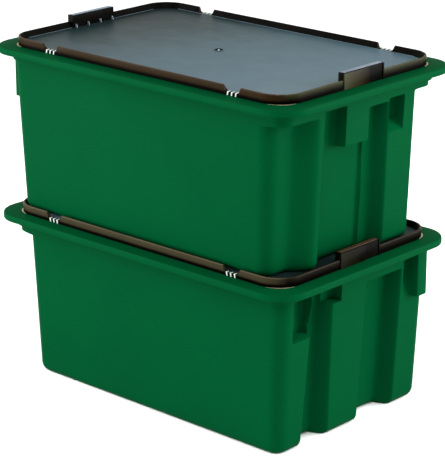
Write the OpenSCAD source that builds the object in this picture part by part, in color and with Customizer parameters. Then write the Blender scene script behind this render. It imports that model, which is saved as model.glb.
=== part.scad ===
// Two stack-and-nest storage bins with snap-on lids, stood one on the other.
// Origin: middle of the footprint, on the floor. X runs along the length, +Z is up.
// Each bin has two different ends. End A has three broad columns, end B two slim ribs,
// and a bin turned half round stands on the one below instead of nesting in it.

/* [Bin] */
// Overall length over the rim
bin_l = 600; // [560:1:660]
// Overall width over the rim
bin_w = 390; // [370:1:430]
// Height from the floor to the top of the rim
bin_h = 258; // [230:1:320]
// Wall thickness
wall = 3; // [2.5:0.1:4]
// How far the rim stands out beyond the wall
rim_reach = 26; // [25:1:31]
// Height of the rim's outer lip
rim_lip_h = 10; // [8:0.5:14]
// Plan radius of the rim's corners
rim_r = 48; // [42:1:60]
// How much longer each end is at the top of the wall than at the floor
draft_x = 11; // [9:0.5:18]
// How much wider each side is at the top of the wall than at the floor
draft_y = 6; // [3:0.5:12]

/* [Ends] */
// Depth of the upright recesses between the columns
recess_depth = 24; // [16:1:28]
// Depth of the pockets under the rim
pocket_depth = 26; // [16:1:30]

/* [Lid] */
// Height of the lid's raised lip above the bin's rim
lid_lip_h = 14; // [11:0.5:18]
// Height of the lid's panel above the bin's rim
lid_panel_h = 5; // [4:0.5:8]
// How far the lid's edge stands in from the rim at the short ends
lid_inset_x = 25; // [22:0.5:25.5]
// How far the lid's edge stands in from the rim along the long sides
lid_inset_y = 23; // [20:0.5:24]
// Width of the two stops that stand up on the lid's short ends
stop_w = 90; // [60:1:120]
// Height of the stops above the bin's rim
stop_h = 25; // [19:1:32]

/* [Hidden] */

bin_green = [0.0, 0.39, 0.20];
lid_black = [0.07, 0.075, 0.07];

half_l = bin_l / 2;
half_w = bin_w / 2;
pitch = bin_h + lid_panel_h;            // each bin stands on the panel of the lid below
wall_top = bin_h - 4;                   // where the wall runs into the rim
top_x = half_l - rim_reach;             // half size of the wall at its top
top_y = half_w - rim_reach;
floor_x = top_x - draft_x;              // half size of the wall at the floor
floor_y = top_y - draft_y;
corner_r = rim_r - rim_reach;
foot_r = 6;                             // rounding between the floor and the walls
arc_steps = 8;
side_step = 0.4;                        // how much narrower the tub is where its ends are set back
cut_x = floor_x - recess_depth - corner_r * 1.1;    // how far in the cuts into an end may reach

shelf_z = bin_h - 38;                   // underside of the band over the recesses
deep_shelf_z = bin_h - 26;              // the same, over the pockets
pocket_floor_z = bin_h - 86;

// Where the recesses and pockets lie along Y, [low, high], looking at the end as the end at +X
a_gap_1 = [[-108, -56], [-89, -62]];    // at the floor and at the top
a_gap_2 = [[20, 95], [26, 101]];
a_pocket_1 = [-142, -98];
a_pocket_2 = [-70, -37];
a_block = [128, 153];
b_corner = [-122, -92];                 // the slanted side of the near corner, inner and outer end
b_gap = [[26, 66], [24, 62]];
b_far = [122, 126];                     // where the far corner's setback starts, floor and top
b_pocket_1 = [-80, -31];
b_pocket_2 = [50, 105];

// ---- plan outlines and lofts ----

// A rounded rectangle at height z. b = [x0, x1, y0, y1]
function ring(b, r, z) = [
    for (c = [[b[1] - r, b[3] - r, 0], [b[0] + r, b[3] - r, 90],
              [b[0] + r, b[2] + r, 180], [b[1] - r, b[2] + r, 270]],
         i = [0 : arc_steps])
        [c[0] + r * cos(c[2] + 90 * i / arc_steps),
         c[1] + r * sin(c[2] + 90 * i / arc_steps), z]];

function centred(hx, hy) = [-hx, hx, -hy, hy];

// A closed convex solid through rings that all have the same number of points
module loft(rings) {
    n = len(rings[0]);
    m = len(rings);
    hull() polyhedron(
        points = [for (ring = rings, p = ring) p],
        faces = concat(
            [[for (i = [0 : n - 1]) i]],
            [[for (i = [n - 1 : -1 : 0]) (m - 1) * n + i]],
            [for (k = [0 : m - 2], i = [0 : n - 1])
                [k * n + i, (k + 1) * n + i, (k + 1) * n + (i + 1) % n, k * n + (i + 1) % n]]));
}

// A closed band swept round the plan. profile = [[inset, z], ...] seen in section, anticlockwise
module band(hx, hy, r, profile) {
    rings = [for (p = profile) ring(centred(hx - p[0], hy - p[0]), r - p[0], p[1])];
    n = len(rings[0]);
    m = len(rings);
    polyhedron(
        points = [for (ring = rings, p = ring) p],
        faces = [for (k = [0 : m - 1], i = [0 : n - 1])
            [k * n + i, ((k + 1) % m) * n + i,
             ((k + 1) % m) * n + (i + 1) % n, k * n + (i + 1) % n]],
        convexity = 6);
}

// ---- bin ----

// Half sizes of the wall at height z, drawn in by t
function wall_x(z, t = 0) = floor_x + draft_x * z / wall_top - t;
function wall_y(z, t = 0) = floor_y + draft_y * z / wall_top - t;

// A plain tapered tub, drawn in by t, from z0 to z1, with both ends set back by back
module tub_block(t, z0, z1, back = 0) {
    inset = foot_r * 0.3;
    side = back > 0 ? side_step : 0;
    loft([for (s = [[z0, foot_r], [z0 + inset, inset], [z0 + foot_r, 0], [z1, 0]])
        ring(centred(wall_x(s[0], t + s[1] + back), wall_y(s[0], t + s[1] + side)),
             corner_r - t - s[1], s[0])]);
}

// A cut into the end at +X between the floor and top_z, grown by t.
// low and high = [y0, y1] at the floor and at the top
module recess(low, high, top_z, t) {
    loft([
        ring([cut_x, half_l, low[0] - t, low[1] + t], 4 + t, -1 - t),
        ring([cut_x, half_l, high[0] - t, high[1] + t], 4 + t, top_z + t)]);
}

// A pocket under the rim in the end at +X, grown by t. span = [y0, y1]
module pocket(span, z0, z1, depth, t) {
    loft([for (z = [z0 - t, z1 + t])
        ring([wall_x(z) - depth - t, half_l, span[0] - t, span[1] + t], 2 + t, z)]);
}

// End A: two recesses leave three columns
module end_a_recesses(t) {
    recess(a_gap_1[0], a_gap_1[1], deep_shelf_z, t);
    recess(a_gap_2[0], a_gap_2[1], shelf_z, t);
}

module end_a_pockets(t) {
    pocket(a_pocket_1, pocket_floor_z, deep_shelf_z, pocket_depth, t);
    pocket(a_pocket_2, deep_shelf_z - 25, deep_shelf_z, recess_depth - 4, t);
}

// End B, drawn as it looks when it is the end at +X: open corners and a slot leave two columns
module end_b_recesses(t) {
    edge = half_w + 10;
    back_x = wall_x(shelf_z / 2) - recess_depth;
    translate([0, 0, -1]) linear_extrude(shelf_z + 7 + t) offset(delta = t)
        polygon([[cut_x, -edge], [half_l, -edge], [half_l, b_corner[1]], [back_x + recess_depth, b_corner[1]],
                 [back_x, b_corner[0]], [cut_x, b_corner[0]]]);
    recess(b_gap[0], b_gap[1], shelf_z, t);
    recess([b_far[0], edge], [b_far[1], edge], shelf_z, t);
}

module end_b_pockets(t) {
    pocket(b_pocket_1, pocket_floor_z, deep_shelf_z, pocket_depth, t);
    pocket(b_pocket_2, pocket_floor_z, shelf_z, recess_depth - 2, t);
}

// The tub's shape drawn in by t: t = 0 is the outside and t = wall the inside
module tub_shape(t, z0, z1) {
    difference() {
        union() {
            difference() {
                tub_block(t, z0, z1);
                end_a_recesses(t);
                rotate([0, 0, 180]) end_b_recesses(t);
            }
            tub_block(t, z0, z1, recess_depth);
        }
        end_a_pockets(t);
        rotate([0, 0, 180]) end_b_pockets(t);
    }
}

// Thickening at the top of end A's last column
module corner_block() {
    reach = 8;
    loft([for (z = [pocket_floor_z, wall_top])
        ring([wall_x(z) - 12, wall_x(z) + reach, a_block[0], a_block[1]], 3, z)]);
}

// The rolled rim: a flat top, an outer lip and a step where it meets the wall
module rim() {
    band(half_l, half_w, rim_r, [
        [0.8, bin_h - rim_lip_h], [0, bin_h - rim_lip_h + 1], [0, bin_h - 3], [1, bin_h - 1], [3, bin_h],
        [rim_reach + wall - 0.5, bin_h], [rim_reach + wall - 0.5, wall_top - 12], [rim_reach, wall_top - 12],
        [rim_reach - 6, bin_h - rim_lip_h - 2], [rim_reach - 6, bin_h - 4],
        [3.5, bin_h - 4], [3.5, bin_h - rim_lip_h]]);
}

module bin() {
    color(bin_green) union() {
        difference() {
            union() {
                tub_shape(0, 0, wall_top);
                corner_block();
            }
            tub_shape(wall, wall, bin_h + 1);
        }
        rim();
    }
}

// ---- lid ----

// z = 0 is the top of the bin's rim, which the lid's lip stands on
lid_x = half_l - lid_inset_x;
lid_y = half_w - lid_inset_y;
lid_r = rim_r - 8;
lip_t = 3.5;                            // thickness of the lip's outer wall
lip_top = 6;                            // width of the lip across its top
panel_t = 3;
plug_gap = 1.5;                         // play between the locating ring and the bin's mouth
plug_depth = 7;
notch_x = lid_x * 0.66;                 // middle of each notch in the lip
notch_w = 32;
stop_d = 12;                            // size of a stop along the bin's length
stop_overhang = 2;
stop_t = 2.5;                           // wall thickness of a stop
stop_x = lid_x + stop_overhang;
gusset_t = 2.5;
gusset_size = 4.5;

module lip() {
    under = lid_panel_h - panel_t;
    band(lid_x, lid_y, lid_r, [
        [0, 0], [0, lid_lip_h - 2], [1.5, lid_lip_h], [lip_top, lid_lip_h], [lip_top + 2.5, lid_panel_h],
        [lip_top + 2.5, under], [lip_t, under], [lip_t, 0]]);
}

// Ring under the panel that drops into the mouth of the bin
module plug() {
    hx = top_x - wall - plug_gap;
    hy = top_y - wall - plug_gap;
    band(hx, hy, corner_r - wall - plug_gap, [
        [1, -plug_depth], [0, -plug_depth + 2], [0, lid_panel_h - 1],
        [2.5, lid_panel_h - 1], [2.5, -plug_depth]]);
}

module panel() {
    loft([for (z = [lid_panel_h - panel_t, lid_panel_h])
        ring(centred(lid_x - lip_t, lid_y - lip_t), lid_r - lip_t, z)]);
}

// Stop on a short end that keeps the bin above from sliding off
module end_stop() {
    translate([stop_x - stop_d, -stop_w / 2, 0]) cube([stop_d, stop_w, stop_h]);
    for (k = [-1.5 : 1 : 1.5])
        translate([stop_x - stop_d, k * (stop_w - gusset_t) / 3 + gusset_t / 2, lid_panel_h])
            rotate([90, 0, 0]) linear_extrude(gusset_t)
                polygon([[0.5, -1], [-gusset_size, -1], [-gusset_size, 0.6], [0, gusset_size], [0.5, gusset_size]]);
}

// The stop is hollow, and open below between the lip and the locating ring
module end_stop_hollow() {
    span = stop_w - 2 * stop_t;
    mouth_x = top_x - wall - plug_gap + 0.5;
    translate([stop_x - stop_d + stop_t, -span / 2, lid_panel_h])
        cube([stop_d - 2 * stop_t, span, stop_h - stop_t - lid_panel_h]);
    translate([mouth_x, -span / 2, -1])
        cube([stop_x - stop_t - mouth_x, span, stop_h - stop_t + 1]);
}

// One notch in the lip with the three slots under it
module lip_notch() {
    translate([-notch_w / 2, -lip_top - 4, lid_panel_h]) cube([notch_w, lip_top + 6, lid_lip_h]);
    for (k = [-1 : 1])
        translate([k * 8 - 2.5, -2, 2.2]) cube([5, 3, 2.6]);
}

module lid() {
    color(lid_black) difference() {
        union() {
            lip();
            panel();
            plug();
            for (a = [0, 180]) rotate([0, 0, a]) end_stop();
        }
        for (a = [0, 180]) rotate([0, 0, a]) {
            end_stop_hollow();
            for (sx = [-1, 1]) translate([sx * notch_x, lid_y, 0]) lip_notch();
        }
        translate([0, 0, lid_panel_h - 0.6]) cylinder(h = 2, r = 5, $fn = 32);
    }
}

module lower_bin() bin();
module lower_lid() translate([0, 0, bin_h]) lid();
module upper_bin() translate([0, 0, pitch]) rotate([0, 0, 180]) bin();
module upper_lid() translate([0, 0, pitch + bin_h]) rotate([0, 0, 180]) lid();

lower_bin();
lower_lid();
upper_bin();
upper_lid();
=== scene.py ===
import math
import bpy
import bmesh
from mathutils import Matrix, Vector


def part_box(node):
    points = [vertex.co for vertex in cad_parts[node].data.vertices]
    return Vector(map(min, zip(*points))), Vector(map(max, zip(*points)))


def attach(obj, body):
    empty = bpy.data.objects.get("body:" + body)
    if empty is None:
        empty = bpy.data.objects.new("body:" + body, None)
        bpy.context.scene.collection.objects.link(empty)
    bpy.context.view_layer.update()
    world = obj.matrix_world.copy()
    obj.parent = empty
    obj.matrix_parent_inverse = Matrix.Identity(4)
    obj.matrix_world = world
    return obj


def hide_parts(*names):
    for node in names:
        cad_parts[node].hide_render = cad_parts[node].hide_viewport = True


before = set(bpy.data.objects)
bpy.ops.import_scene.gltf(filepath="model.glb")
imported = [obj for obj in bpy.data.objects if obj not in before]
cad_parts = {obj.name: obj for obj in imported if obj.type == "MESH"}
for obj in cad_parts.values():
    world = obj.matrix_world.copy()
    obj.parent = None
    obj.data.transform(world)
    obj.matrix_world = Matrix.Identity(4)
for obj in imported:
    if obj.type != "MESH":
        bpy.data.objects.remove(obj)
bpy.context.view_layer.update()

# ---- sizes, in millimetres, from the frame ----
MM = 0.001
bin_lo, bin_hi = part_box("lower_bin")
lid_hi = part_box("lower_lid")[1]
PITCH = (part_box("upper_bin")[0].z - bin_lo.z) / MM
HALF_L, HALF_W, BIN_H = bin_hi.x / MM, bin_hi.y / MM, bin_hi.z / MM
PANEL_H = PITCH - BIN_H
REACH, RIM_R = 26, 48                   # how far the rim stands out, and its plan radius
TOP_X, TOP_Y = HALF_L - REACH, HALF_W - REACH
DRAFT_X, DRAFT_Y = 11, 6                # how much each wall leans out from floor to top
WALL_TOP = BIN_H - 4
SHELF, DEEP_SHELF = BIN_H - 38, BIN_H - 26      # where the recesses end under the rim
POCKET_Z = BIN_H - 86                   # foot of the deep pockets
CORNER_R, SETBACK, WALL = 22, 24, 3     # wall corner radius, recess depth, wall thickness
FOOT_R = 14                             # rounding of the bin's foot
STOP_X = lid_hi.x / MM
STOP_H = (lid_hi.z - bin_hi.z) / MM
STOP_D, STOP_Y = 12, 44                 # depth and half width of an end stop
LID_X, LID_Y, LID_R = STOP_X - 2, lid_hi.y / MM, RIM_R - 8
LIP_H = 14                              # top of the lid's lip above the rim


def smooth(a, b, x):
    t = min(max((x - a) / (b - a), 0.0), 1.0)
    return t * t * (3 - 2 * t)


def wall_x(z):
    return TOP_X - DRAFT_X * (1 - z / WALL_TOP)


def wall_y(z):
    return TOP_Y - DRAFT_Y * (1 - z / WALL_TOP)


def lerp_z(pair, z):
    return pair[0] + (pair[1] - pair[0]) * z / WALL_TOP


# ---- depth of each end below its outer plane ----
def groove(y, z, left, right, top, depth, soft=14.0):
    """An upright recess with soft sides. left and right are its edges at the floor and at the top."""
    y0, y1 = lerp_z(left, z), lerp_z(right, z)
    across = smooth(y0 - soft / 2, y0 + soft / 2, y) - smooth(y1 - soft / 2, y1 + soft / 2, y)
    return depth * across * (1 - smooth(top - 1.5, top + 1.5, z))


def pocket(y, z, y0, y1, z0, z1, depth, fillet=6.0):
    """A pocket with a crisp upright wall at y1 and a rounded corner at its foot."""
    if y <= y0 or y >= y1 + 0.6:
        return 0.0
    u = y1 - y
    d = depth * smooth(y0, y0 + 2.5, y)
    if u < fillet:
        d = min(d, depth - fillet + math.sqrt(max(fillet ** 2 - (fillet - max(u, 0)) ** 2, 0)))
    if u < 0:
        d *= 1 + u / 0.6
    return d * smooth(z0 - 1.2, z0 + 1.2, z) * (1 - smooth(z1 - 1.2, z1 + 1.2, z))


# Recesses as (left edge, right edge, top), each edge at the floor and at the top of the wall.
A_RECESSES = [((-108, -92), (-58, -62), DEEP_SHELF), ((20, 26), (93, 99), SHELF)]
B_RECESSES = [((26, 24), (60, 57), SHELF), ((-76, -76), (30, 30), POCKET_Z)]
# Pockets as (y from, y to, z from, z to, depth).
A_POCKETS = [(-141, -98, POCKET_Z, DEEP_SHELF, 22), (-72, -37, DEEP_SHELF - 23, DEEP_SHELF, 17)]
B_POCKETS = [(-80, -33, POCKET_Z - 4, DEEP_SHELF, SETBACK - 3), (64, 98, POCKET_Z + 6, SHELF + 4, 19)]
# The shallow hollow beside the block at the far side of end A.
A_HOLLOW_DEPTH = 9


def below_shelf(z):
    """1 under the shelf of end B, 0 above it."""
    return 1 - smooth(SHELF + 4, SHELF + 7, z)


def depth_a(y, z):
    d = max(groove(y, z, left, right, top, SETBACK) for left, right, top in A_RECESSES)
    d = max(d, max(pocket(y, z, *where) for where in A_POCKETS))
    hollow = A_HOLLOW_DEPTH * smooth(106, 120, y) * (1 - smooth(127, 128.5, y))
    hollow *= smooth(POCKET_Z - 1, POCKET_Z + 34, z) * (1 - smooth(DEEP_SHELF - 1, DEEP_SHELF + 1, z))
    return max(d, hollow)


def setback_b(z):
    return SETBACK * below_shelf(z)


def depth_b(y, z):
    d = setback_b(z) * (1 - smooth(-124, -88, y))
    d = max(d, max(groove(y, z, left, right, top, SETBACK - 3) for left, right, top in B_RECESSES))
    d = max(d, SETBACK * smooth(122, 134, y) * below_shelf(z))
    return max(d, max(pocket(y, z, *where) for where in B_POCKETS))


END_STEPS, SIDE_STEPS, ARC = 300, 10, 12


def tub_ring(z, inset, inner):
    """Plan outline at height z, drawn in by inset at the foot and by the wall on the inside."""
    hx, hy = wall_x(z), wall_y(z)
    t = WALL if inner else 0
    r = CORNER_R
    sb = setback_b(z)
    pts = []

    def arc(cx, cy, start):
        for i in range(1, ARC):
            a = math.radians(start + 90 * i / ARC)
            rr = r - t - inset
            pts.append((cx + rr * math.cos(a), cy + rr * math.sin(a)))

    def end(depth, sign, y_lo, y_hi):
        for i in range(END_STEPS + 1):
            y = y_lo + (y_hi - y_lo) * i / END_STEPS
            pts.append((sign * (hx - depth(y, z) - t - inset), sign * y))

    span = hy - r
    end(depth_a, 1, -span, span)
    arc(hx - r, hy - r, 0)
    xa, xb = hx - r, -(hx - sb - r)
    for i in range(SIDE_STEPS + 1):
        pts.append((xa + (xb - xa) * i / SIDE_STEPS, hy - t - inset))
    arc(-(hx - sb - r), hy - r, 90)
    end(depth_b, -1, -span, span)
    arc(-(hx - sb - r), -(hy - r), 180)
    for i in range(SIDE_STEPS + 1):
        pts.append((xb + (xa - xb) * i / SIDE_STEPS, -(hy - t - inset)))
    arc(hx - r, -(hy - r), 270)
    return [(x, y, z) for x, y in pts]


def rounded(hx, hy, r, z, sides, arc_n):
    """Rounded rectangle; sides gives the places along a long side, from -1 to 1."""
    pts = []
    n = 9

    def arc(cx, cy, start):
        for i in range(1, arc_n):
            a = math.radians(start + 90 * i / arc_n)
            pts.append((cx + r * math.cos(a), cy + r * math.sin(a)))

    for i in range(n + 1):
        pts.append((hx, -(hy - r) + 2 * (hy - r) * i / n))
    arc(hx - r, hy - r, 0)
    for s in reversed(sides):
        pts.append(((hx - r) * s, hy))
    arc(-(hx - r), hy - r, 90)
    for i in range(n + 1):
        pts.append((-hx, (hy - r) - 2 * (hy - r) * i / n))
    arc(-(hx - r), -(hy - r), 180)
    for s in sides:
        pts.append(((hx - r) * s, -hy))
    arc(hx - r, -(hy - r), 270)
    return [(x, y, z) for x, y in pts]


def add_loft(bm, rings, closed=False, cap_start=False, cap_end=False, mat=0):
    """Joins rings of points with quads, in millimetres."""
    rows = [[bm.verts.new((p[0] * MM, p[1] * MM, p[2] * MM)) for p in ring] for ring in rings]
    n = len(rows[0])
    pairs = list(zip(rows, rows[1:])) + ([(rows[-1], rows[0])] if closed else [])
    for a, b in pairs:
        for i in range(n):
            j = (i + 1) % n
            f = bm.faces.new((a[i], a[j], b[j], b[i]))
            f.material_index = mat
    if cap_start:
        bm.faces.new(list(reversed(rows[0]))).material_index = mat
    if cap_end:
        bm.faces.new(rows[-1]).material_index = mat
    return rows


def add_box(bm, lo, hi, bevel=0.8, mat=0, shear=None):
    """A bevelled box, in millimetres. shear moves its top in X and Y."""
    made = bmesh.ops.create_cube(bm, size=1)
    vs = made["verts"]
    for v in vs:
        top = v.co.z > 0
        v.co = Vector([(lo[k] + (hi[k] - lo[k]) * (v.co[k] + 0.5)) * MM for k in range(3)])
        if shear and top:
            v.co.x += shear[0] * MM
            v.co.y += shear[1] * MM
    edges = list({e for v in vs for e in v.link_edges})
    for f in {f for v in vs for f in v.link_faces}:
        f.material_index = mat
    if bevel:
        bmesh.ops.bevel(bm, geom=edges, offset=bevel * MM, segments=2, affect="EDGES",
                        profile=0.6, material=mat)


def finish_mesh(bm, name, mats, angle=32):
    bmesh.ops.recalc_face_normals(bm, faces=bm.faces)
    for f in bm.faces:
        f.smooth = True
    for e in bm.edges:
        if len(e.link_faces) == 2 and e.calc_face_angle(0) > math.radians(angle):
            e.smooth = False
    mesh = bpy.data.meshes.new(name)
    bm.to_mesh(mesh)
    bm.free()
    for m in mats:
        mesh.materials.append(m)
    obj = bpy.data.objects.new(name, mesh)
    bpy.context.scene.collection.objects.link(obj)
    return obj


# ---- materials ----
def new_material(name):
    m = bpy.data.materials.new(name)
    m.use_nodes = True
    nt = m.node_tree
    nt.nodes.clear()
    out = nt.nodes.new("ShaderNodeOutputMaterial")
    bsdf = nt.nodes.new("ShaderNodeBsdfPrincipled")
    nt.links.new(bsdf.outputs[0], out.inputs[0])
    coord = nt.nodes.new("ShaderNodeTexCoord")
    return m, nt, bsdf, coord.outputs["Object"]


def noise(nt, coord, scale, detail=3.0, rough=0.5):
    n = nt.nodes.new("ShaderNodeTexNoise")
    n.inputs["Scale"].default_value = scale
    n.inputs["Detail"].default_value = detail
    n.inputs["Roughness"].default_value = rough
    nt.links.new(coord, n.inputs["Vector"])
    return n.outputs["Fac"]


def ramp(nt, fac, stops):
    r = nt.nodes.new("ShaderNodeValToRGB")
    els = r.color_ramp.elements
    for i, (pos, col) in enumerate(stops):
        e = els[i] if i < 2 else els.new(pos)
        e.position = pos
        e.color = (*col, 1)
    nt.links.new(fac, r.inputs[0])
    return r.outputs[0]


def span(nt, value, lo, hi, to_lo=0.0, to_hi=1.0):
    n = nt.nodes.new("ShaderNodeMapRange")
    for key, v in (("From Min", lo), ("From Max", hi), ("To Min", to_lo), ("To Max", to_hi)):
        n.inputs[key].default_value = v
    nt.links.new(value, n.inputs["Value"])
    return n.outputs["Result"]


def math_node(nt, op, *terms):
    n = nt.nodes.new("ShaderNodeMath")
    n.operation = op
    for i, t in enumerate(terms):
        if isinstance(t, (int, float)):
            n.inputs[i].default_value = t
        else:
            nt.links.new(t, n.inputs[i])
    return n.outputs[0]


def split_xyz(nt, coord):
    sep = nt.nodes.new("ShaderNodeSeparateXYZ")
    nt.links.new(coord, sep.inputs[0])
    return sep.outputs


def shade(color, factor):
    return tuple(c * factor for c in color)


def add_bump(nt, bsdf, layers):
    """layers = [(height output, strength, distance in metres)]"""
    prev = None
    for height, strength, dist in layers:
        b = nt.nodes.new("ShaderNodeBump")
        b.inputs["Strength"].default_value = strength
        b.inputs["Distance"].default_value = dist
        nt.links.new(height, b.inputs["Height"])
        if prev is not None:
            nt.links.new(prev, b.inputs["Normal"])
        prev = b.outputs[0]
    nt.links.new(prev, bsdf.inputs["Normal"])


def set_surface(nt, bsdf, col, grain, rough, specular):
    """Colour, roughness between the two values of rough as the grain varies, and specular level."""
    nt.links.new(col, bsdf.inputs["Base Color"])
    nt.links.new(span(nt, grain, 0.0, 1.0, *rough), bsdf.inputs["Roughness"])
    bsdf.inputs["Specular IOR Level"].default_value = specular


def green_plastic(name, level):
    m, nt, bsdf, co = new_material(name)
    cloud = noise(nt, co, 6.0, 4.0, 0.55)
    col = ramp(nt, cloud, [(0.3, (0.0, level * 0.95, level * 0.27)),
                           (0.7, (0.0, level * 1.05, level * 0.30))])
    set_surface(nt, bsdf, col, noise(nt, co, 40.0, 3.0), (0.42, 0.54), 0.004)
    add_bump(nt, bsdf, [(noise(nt, co, 900.0, 2.0, 0.6), 0.12, 0.0002), (cloud, 0.15, 0.0008)])
    return m


def lip_painted_reflection(name, side_reflection, end_reflection):
    """Black moulding with a painted warm reflection band round its upper half and a painted
    highlight at its top edge, one colour on the long sides and another on the short ends."""
    m, nt, bsdf, co = new_material(name)
    xyz = split_xyz(nt, co)
    # Painted reflection: black at the foot, the reflection colour on the upper half and a painted highlight
    # at the top edge.
    height = span(nt, xyz["Z"], 0.0, LIP_H * MM, 0.0, 0.9)
    level = math_node(nt, "MULTIPLY_ADD", noise(nt, co, 9.0, 2.0), 0.14, height)
    dark = (0.0006, 0.0004, 0.0002)
    side_edge_highlight = tuple(c * 2.2 + 0.004 for c in side_reflection)
    long_side = ramp(nt, level, [(0.30, dark), (0.97, side_edge_highlight), (0.52, side_reflection), (0.90, side_reflection)])
    short_end = ramp(nt, level, [(0.34, dark), (0.97, shade(end_reflection, 2)),
                                 (0.60, shade(end_reflection, 0.4)), (0.88, end_reflection)])
    mix = nt.nodes.new("ShaderNodeMix")
    mix.data_type = "RGBA"
    near_end = span(nt, math_node(nt, "ABSOLUTE", xyz["X"]), (LID_X - 16) * MM, (LID_X - 5) * MM)
    nt.links.new(near_end, mix.inputs[0])
    nt.links.new(long_side, mix.inputs[6])
    nt.links.new(short_end, mix.inputs[7])
    set_surface(nt, bsdf, mix.outputs[2], noise(nt, co, 60.0, 2.0), (0.26, 0.36), 0.015)
    add_bump(nt, bsdf, [(noise(nt, co, 500.0, 2.0), 0.08, 0.0002)])
    return m


def black_plastic():
    m, nt, bsdf, co = new_material("black_moulding")
    col = ramp(nt, noise(nt, co, 40.0), [(0.3, (0.0008, 0.0008, 0.0006)), (0.7, (0.0022, 0.0020, 0.0014))])
    set_surface(nt, bsdf, col, noise(nt, co, 60.0, 2.0), (0.30, 0.42), 0.012)
    add_bump(nt, bsdf, [(noise(nt, co, 500.0, 2.0), 0.08, 0.0002)])
    return m


def stop_painted_reflection(name, level):
    """Outer face of an end stop: a painted olive reflection fading to black along its length."""
    m, nt, bsdf, co = new_material(name)
    xyz = split_xyz(nt, co)
    along = math_node(nt, "MULTIPLY", math_node(nt, "SIGN", xyz["X"]), xyz["Y"])
    fade = span(nt, along, -0.046, 0.014, 0.0, 0.88)
    fac = math_node(nt, "MULTIPLY_ADD", noise(nt, co, 12.0, 2.0), 0.12, fade)
    # level scales the brightness of the painted reflection.
    col = ramp(nt, fac, [(0.08, shade((0.032, 0.034, 0.020), level)), (0.97, (0.0010, 0.0008, 0.0006)),
                         (0.38, shade((0.019, 0.017, 0.008), level)),
                         (0.75, shade((0.008, 0.005, 0.002), level))])
    set_surface(nt, bsdf, col, noise(nt, co, 60.0, 2.0), (0.26, 0.36), 0.02)
    return m


def panel_painted_reflection(name):
    """Satin panel with a painted reflection: dark at the lid's +X end and blue-grey at the other."""
    m, nt, bsdf, co = new_material(name)
    xyz = split_xyz(nt, co)
    # Painted reflection gradient across the panel, broken up by streaks.
    along = math_node(nt, "MULTIPLY_ADD", xyz["Y"], 0.35, math_node(nt, "MULTIPLY", xyz["X"], -1.0))
    stretch = nt.nodes.new("ShaderNodeMapping")
    stretch.inputs["Scale"].default_value = (3.0, 9.0, 1.0)
    nt.links.new(co, stretch.inputs["Vector"])
    flow = math_node(nt, "MULTIPLY_ADD", noise(nt, stretch.outputs[0], 2.2, 5.0, 0.6), 0.20,
                     span(nt, along, -0.33, 0.33, 0.0, 0.85))
    streak = noise(nt, stretch.outputs[0], 9.0, 3.0, 0.55)
    fac = math_node(nt, "MULTIPLY_ADD", streak, 0.10, flow)
    col = ramp(nt, fac, [(0.16, (0.0035, 0.008, 0.008)), (0.98, (0.062, 0.096, 0.110)),
                         (0.34, (0.012, 0.024, 0.025)), (0.55, (0.034, 0.062, 0.074)),
                         (0.80, (0.048, 0.084, 0.104))])
    set_surface(nt, bsdf, col, noise(nt, co, 25.0, 4.0), (0.32, 0.44), 0.04)
    add_bump(nt, bsdf, [(noise(nt, co, 700.0, 2.0), 0.15, 0.0002), (noise(nt, co, 7.0, 3.0), 0.2, 0.001)])
    return m


def painted_edge_highlight(name, tone):
    # Pale tone for thin edges and small ribs: a painted highlight.
    m, nt, bsdf, co = new_material(name)
    col = ramp(nt, noise(nt, co, 50.0), [(0.3, shade(tone, 0.75)), (0.7, shade(tone, 1.25))])
    set_surface(nt, bsdf, col, noise(nt, co, 200.0), (0.25, 0.4), 0.2)
    return m


def pale_face(name, tone):
    m, nt, bsdf, co = new_material(name)
    col = ramp(nt, noise(nt, co, 120.0), [(0.3, shade(tone, 0.9)), (0.7, shade(tone, 1.1))])
    nt.links.new(col, bsdf.inputs["Base Color"])
    nt.links.new(span(nt, noise(nt, co, 80.0), 0.0, 1.0, 0.45, 0.60), bsdf.inputs["Roughness"])
    return m


GREEN = green_plastic("green_moulded_plastic", 0.0385)
# The same green made lighter: painted light for the pocket floors, which sit in shade.
LIT_FLOOR_GREEN = green_plastic("green_painted_light_pocket_floors", 0.046)
CREAM = pale_face("cream_corner_gap", (0.22, 0.19, 0.11))
# Pale tone on the notch ribs and the gate's middle: a painted highlight.
PALE = pale_face("pale_painted_highlight", (0.42, 0.50, 0.46))
BLACK = black_plastic()
# Places in a bin's and in a lid's list of materials
ON_LIT_FLOOR, ON_GAP = 1, 2
ON_LIP, ON_PANEL, ON_PALE_HIGHLIGHT, ON_EDGE_HIGHLIGHT, ON_BLACK, ON_PLATE = range(6)
BIN = [GREEN, LIT_FLOOR_GREEN, CREAM]
# The lid materials carry painted reflections and highlights in their colours.
UPPER_LID = [lip_painted_reflection("upper_lid_lip", (0.014, 0.0075, 0.0026), (0.018, 0.018, 0.008)),
             panel_painted_reflection("upper_lid_panel"), PALE, painted_edge_highlight("upper_lid_painted_highlight", (0.08, 0.11, 0.14)),
             BLACK, stop_painted_reflection("upper_stop_plate", 1.0)]
LOWER_LID = [lip_painted_reflection("lower_lid_lip", (0.024, 0.020, 0.010), (0.006, 0.0045, 0.0025)),
             panel_painted_reflection("lower_lid_panel"), PALE, painted_edge_highlight("lower_lid_painted_highlight", (0.035, 0.016, 0.008)),
             BLACK, stop_painted_reflection("lower_stop_plate", 0.25)]


def place(obj, turn, lift):
    turned = Matrix.Rotation(math.radians(turn), 4, "Z")
    obj.matrix_world = Matrix.Translation((0, 0, lift * MM)) @ turned


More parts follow.
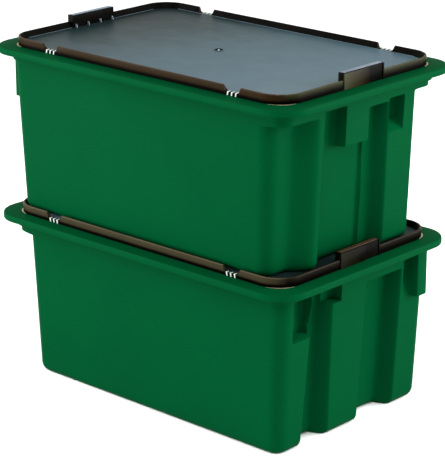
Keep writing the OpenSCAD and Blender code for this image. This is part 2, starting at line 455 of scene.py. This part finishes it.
# ---- bin ----
# Section through the rim as (inset from its outer edge, height), outside first.
RIM_SECTION = [(0.0, BIN_H - 8.5), (0.0, BIN_H - 3), (0.35, BIN_H - 1.6), (1.2, BIN_H - 0.5), (2.6, BIN_H),
               (REACH + WALL - 1, BIN_H), (REACH + WALL, BIN_H - 1), (REACH + WALL, WALL_TOP - 10),
               (REACH, WALL_TOP - 14), (REACH - 1, BIN_H - 22), (REACH - 3.4, BIN_H - 22),
               (REACH - 4, BIN_H - 21), (REACH - 4, BIN_H - 5), (REACH - 5, BIN_H - 4),
               (4.2, BIN_H - 4), (3.4, BIN_H - 5), (3.2, BIN_H - 9.5), (2.6, BIN_H - 10), (0.7, BIN_H - 10)]


def foot_rings(start, stop, step, thick):
    """Rings round the foot's curve; thick is the wall inside the curve, 0 for the outer face."""
    rings = []
    for angle in range(start, stop, step):
        s = math.sin(math.radians(angle))
        c = math.cos(math.radians(angle))
        r = FOOT_R - thick
        rings.append(tub_ring(thick + r * (1 - c), r * (1 - s), thick > 0))
    return rings


def wall_levels():
    """Heights up the wall, closer together where a recess or pocket starts or ends."""
    fine = []
    for z0 in (POCKET_Z, DEEP_SHELF - 25, SHELF, SHELF + 5.5, DEEP_SHELF - 4, DEEP_SHELF):
        fine += [z0 - 1.6, z0 - 0.8, z0, z0 + 0.8, z0 + 1.6]
    coarse = [FOOT_R + (WALL_TOP - FOOT_R) * i / 22 for i in range(1, 23)]
    coarse = [z for z in coarse if min(abs(z - f) for f in fine) > 1.5]
    return sorted(coarse + fine)


def mark_lit_floors(bm):
    """Gives the floors of the pockets the lighter green, painted light that offsets the shade in the
    pockets.
    """
    bm.normal_update()
    for f in bm.faces:
        mid = f.calc_center_median() / MM
        in_band = POCKET_Z - 8 < mid.z < DEEP_SHELF + 1
        if in_band and abs(mid.x) > TOP_X - 40 and abs(mid.y) < TOP_Y - 20:
            if 1.0 < wall_x(mid.z) - abs(mid.x) < 26 and f.normal.z > 0.5:
                f.material_index = ON_LIT_FLOOR


def corner_gap(bm, sx, sy):
    """A thin pale crescent on the rim round one corner of the lid."""
    cx, cy = sx * (LID_X - LID_R), sy * (LID_Y - LID_R)
    middle = math.degrees(math.atan2(sy, sx))
    widest = 2.4 if sx * sy > 0 else 0.9
    edges = []
    for i in range(13):
        a = math.radians(middle - 30 + 5 * i)
        outer = 1.05 + widest * math.sin(math.pi * i / 12)
        edges.append([(cx + (LID_R - 1 + q) * math.cos(a), cy + (LID_R - 1 + q) * math.sin(a), BIN_H + z)
                      for q, z in ((0, -0.4), (outer, -0.4), (outer, 0.25), (0, 0.25))])
    add_loft(bm, edges, cap_start=True, cap_end=True, mat=ON_GAP)


def bin_piece(name, body, node, turn, lift):
    bm = bmesh.new()
    levels = wall_levels()
    rings = foot_rings(0, 91, 15, 0)
    rings += [tub_ring(z, 0, False) for z in levels]
    rings += [tub_ring(z, 0, True) for z in reversed(levels)]
    rings += foot_rings(90, -1, -30, WALL)
    add_loft(bm, rings, cap_start=True, cap_end=True)
    mark_lit_floors(bm)
    sides = [-1 + 2 * i / 12 for i in range(13)]
    rim = [rounded(HALF_L - i, HALF_W - i, RIM_R - i, z, sides, 14) for i, z in RIM_SECTION]
    add_loft(bm, rim, closed=True)
    # block at the far side of end A
    add_box(bm, (TOP_X - 16, 128, POCKET_Z), (TOP_X + 10, 150, BIN_H - 5), bevel=2.0)
    for sx in (-1, 1):
        for sy in (-1, 1):
            corner_gap(bm, sx, sy)
    obj = finish_mesh(bm, name, BIN)
    place(obj, turn, lift)
    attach(obj, body)
    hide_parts(node)
    return obj


# ---- lid ----
NOTCH_X, NOTCH_HALF = LID_X * 0.66, 16


def lid_sides():
    """Places along a long side, from -1 to 1, closer together at the ends of each notch."""
    straight = LID_X - LID_R
    marks = [straight * (-1 + 2 * i / 14) for i in range(15)]
    for c in (-NOTCH_X, NOTCH_X):
        marks += [c + q * (NOTCH_HALF - p) for q in (-1, 1) for p in (-0.5, 0.5, 1.5, 2.5, 3.5, 6)]
    return [m / straight for m in sorted(marks)]


def lid_ring(inset, z, sides, notched=False):
    pts = rounded(LID_X - inset, LID_Y - inset, max(LID_R - inset, 6), z, sides, 14)
    if not notched:
        return pts
    cut = []
    for x, y, top in pts:
        near = NOTCH_HALF + 0.5 - abs(abs(x) - NOTCH_X)
        if near > 0 and abs(y) > LID_Y - 12:
            top = min(top, max(PANEL_H + 0.4, LIP_H - near * 2.6))
        cut.append((x, y, top))
    return cut


def lid_shell(bm, sides):
    """Raised lip with notches, the panel inside it, and the underside."""
    plain = [(0, 0), (0, 1), (0, PANEL_H - 0.6)]
    notched = [(0, LIP_H - 2.2), (0.2, LIP_H - 0.9), (0.7, LIP_H - 0.2), (1.3, LIP_H), (2.6, LIP_H),
               (3.2, LIP_H - 0.2), (3.7, LIP_H - 0.9), (6.6, PANEL_H + 1.4)]
    inner = [(7.4, PANEL_H + 0.3), (8.4, PANEL_H)]
    lip = [lid_ring(i, z, sides) for i, z in plain]
    lip += [lid_ring(i, z, sides, True) for i, z in notched]
    lip += [lid_ring(i, z, sides) for i, z in inner]
    add_loft(bm, lip, mat=ON_LIP)
    panel = [lid_ring(i, PANEL_H, sides) for i in (8.4, 16, 30, 60, 100, 140, 160)]
    add_loft(bm, panel, cap_end=True, mat=ON_PANEL)
    under = [lid_ring(i, PANEL_H - 3, sides) for i in (160, 100, 40, 3.5)]
    under += [lid_ring(3.5, 0, sides), lid_ring(0, 0, sides)]
    add_loft(bm, under, cap_start=True, mat=ON_LIP)
    bmesh.ops.remove_doubles(bm, verts=bm.verts, dist=1e-6)


def locating_ring(bm, sides):
    """Ring under the panel that drops into the bin's mouth."""
    px, py = TOP_X - WALL - 1.5, TOP_Y - WALL - 1.5
    plug = [rounded(px - i, py - i, CORNER_R - WALL - 1.5 - i, z, sides, 8)
            for i, z in ((1, -7), (0, -5), (0, PANEL_H - 2), (2.5, PANEL_H - 2), (2.5, -7))]
    add_loft(bm, plug, closed=True)


def gate_mark(bm):
    """Moulding mark in the middle of the panel: a black ring round a middle painted pale as a highlight."""
    section = ((8.5, 0.02), (7.6, 0.55), (6.6, 0.6), (5.8, 0.1), (4.6, -0.3), (1.6, -0.3), (1.2, 0.3),
               (0.4, 0.4))
    rings = []
    for r, z in section:
        rings.append([(r * math.cos(math.radians(a)), r * math.sin(math.radians(a)), PANEL_H + 0.3 + z)
                      for a in range(0, 360, 15)])
    add_loft(bm, rings[:3], mat=ON_PANEL)
    add_loft(bm, rings[2:6], mat=ON_BLACK)
    add_loft(bm, rings[5:], cap_end=True, mat=ON_PALE_HIGHLIGHT)


def between(s, a, b):
    """a and b on the side s (-1 or 1) of the lid, lower one first."""
    return sorted((s * a, s * b))


def end_stop(bm, s):
    x0, x1 = between(s, STOP_X - STOP_D, STOP_X - 1.2)
    add_box(bm, (x0, -STOP_Y, 1), (x1, STOP_Y, STOP_H - 0.6), bevel=0.8, mat=ON_BLACK)
    # face plate and end flange on the outer side, with a painted reflection, and a plate on top in the
    # painted highlight colour
    x0, x1 = between(s, STOP_X - 2, STOP_X)
    y0, y1 = between(s, -STOP_Y, STOP_Y * 0.25)
    add_box(bm, (x0, y0, 0.4), (x1, y1, STOP_H - 1.2), bevel=0.6, mat=ON_PLATE)
    y0, y1 = between(s, STOP_Y - 2.4, STOP_Y)
    add_box(bm, (x0, y0, 0.4), (x1, y1, STOP_H - 0.6), bevel=0.5, mat=ON_PLATE)
    x0, x1 = between(s, STOP_X - STOP_D + 1.6, STOP_X - 3.2)
    add_box(bm, (x0, -STOP_Y + 2.4, STOP_H - 1.4), (x1, STOP_Y - 2.4, STOP_H), bevel=0.3, mat=ON_EDGE_HIGHLIGHT)
    # small ribs in the painted highlight colour
    x0, x1 = between(s, STOP_X - STOP_D - 4.4, STOP_X - STOP_D + 0.5)
    for k in range(4):
        y = -STOP_Y + 5 + (2 * STOP_Y - 10) / 3 * k
        add_box(bm, (x0, y - 0.7, PANEL_H - 1), (x1, y + 0.7, PANEL_H + 5.5), bevel=0.3, mat=ON_EDGE_HIGHLIGHT,
                shear=(s * 1.6, 0))


def notch_slots(bm, s):
    # Three small ribs in each notch, coloured pale as a painted highlight.
    y0, y1 = between(s, LID_Y - 5, LID_Y + 0.3)
    for c in (-NOTCH_X, NOTCH_X):
        for k in (-1, 0, 1):
            x = c + k * 7.5
            add_box(bm, (x - 1.1, y0, 0.3), (x + 1.1, y1, PANEL_H + 0.9), bevel=0.25, mat=ON_PALE_HIGHLIGHT,
                    shear=(-1.2, 0))


def mark_inner_faces(bm):
    """Plain black, without the painted reflection, where the lip looks in towards the middle, and a painted
    highlight line round the panel.
    """
    bm.normal_update()
    for f in bm.faces:
        mid = f.calc_center_median()
        inset = min(LID_X - abs(mid.x) / MM, LID_Y - abs(mid.y) / MM)
        if f.material_index == ON_LIP and 7.4 < inset < 8.4 and f.normal.z > 0.7:
            f.material_index = ON_EDGE_HIGHLIGHT
        out = Vector((mid.x / LID_X, mid.y / LID_Y, 0)) / MM
        out = Vector((out.x if abs(out.x) > 0.86 else 0, out.y if abs(out.y) > 0.86 else 0, 0))
        if f.material_index == ON_LIP and mid.z > PANEL_H * MM and f.normal.dot(out) < -0.25:
            f.material_index = ON_BLACK


def lid_piece(name, body, node, turn, lift, mats):
    bm = bmesh.new()
    sides = lid_sides()
    lid_shell(bm, sides)
    locating_ring(bm, sides)
    gate_mark(bm)
    for s in (-1, 1):
        end_stop(bm, s)
        notch_slots(bm, s)
    mark_inner_faces(bm)
    obj = finish_mesh(bm, name, mats)
    place(obj, turn, lift)
    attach(obj, body)
    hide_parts(node)
    return obj


bin_piece("lower_bin_shell", "lower_bin", "lower_bin", 0, 0)
lid_piece("lower_lid_shell", "lower_lid", "lower_lid", 0, BIN_H, LOWER_LID)
bin_piece("upper_bin_shell", "upper_bin", "upper_bin", 180, PITCH)
lid_piece("upper_lid_shell", "upper_lid", "upper_lid", 180, PITCH + BIN_H, UPPER_LID)

# ---- floor, light and camera ----
bpy.ops.mesh.primitive_plane_add(size=14, location=(0, 0, 0))
floor = bpy.context.active_object
floor.name = "studio_floor"
fm, fnt, fb, fco = new_material("pale_floor")
floor_col = ramp(fnt, noise(fnt, fco, 1.2), [(0.3, (0.90, 0.90, 0.90)), (0.7, (0.93, 0.93, 0.93))])
fnt.links.new(floor_col, fb.inputs["Base Color"])
fb.inputs["Roughness"].default_value = 0.9
fb.inputs["Specular IOR Level"].default_value = 0.0
floor.data.materials.append(fm)

world = bpy.data.worlds.new("studio")
bpy.context.scene.world = world
world.use_nodes = True
world.node_tree.nodes["Background"].inputs[0].default_value = (1, 1, 1, 1)
world.node_tree.nodes["Background"].inputs[1].default_value = 1.0

AZ, EL, DIST, TARGET = 42.55, 17.76, 3.220, Vector((0, 0, 0.2806))
LENS_MM, SHIFT_X, SHIFT_Y = 164.6, 0.0082, -0.0524


def softbox(name, az, el, dist, size, power):
    a, e = math.radians(az), math.radians(el)
    d = Vector((math.sin(a) * math.cos(e), -math.cos(a) * math.cos(e), math.sin(e)))
    light = bpy.data.lights.new(name, "AREA")
    light.shape = "RECTANGLE"
    light.size, light.size_y = size
    light.energy = power
    o = bpy.data.objects.new(name, light)
    o.location = Vector((0, 0, 0.28)) + d * dist
    o.rotation_euler = d.to_track_quat("Z", "Y").to_euler()
    bpy.context.scene.collection.objects.link(o)


softbox("left_softbox", AZ - 88, 14, 2.6, (1.6, 1.4), 125)
softbox("right_softbox", AZ + 88, 14, 2.6, (1.6, 1.4), 125)
softbox("front_fill", AZ, 42, 3.0, (1.4, 1.0), 55)

cam_data = bpy.data.cameras.new("camera")
cam_data.sensor_width = 36
cam_data.lens = LENS_MM
cam_data.shift_x = SHIFT_X
cam_data.shift_y = SHIFT_Y
cam_data.clip_end = 50
cam = bpy.data.objects.new("camera", cam_data)
a, e = math.radians(AZ), math.radians(EL)
back = Vector((math.sin(a) * math.cos(e), -math.cos(a) * math.cos(e), math.sin(e)))
cam.location = TARGET + back * DIST
cam.rotation_euler = back.to_track_quat("Z", "Y").to_euler()
bpy.context.scene.collection.objects.link(cam)
bpy.context.scene.camera = cam
bpy.context.scene.view_settings.view_transform = "Standard"
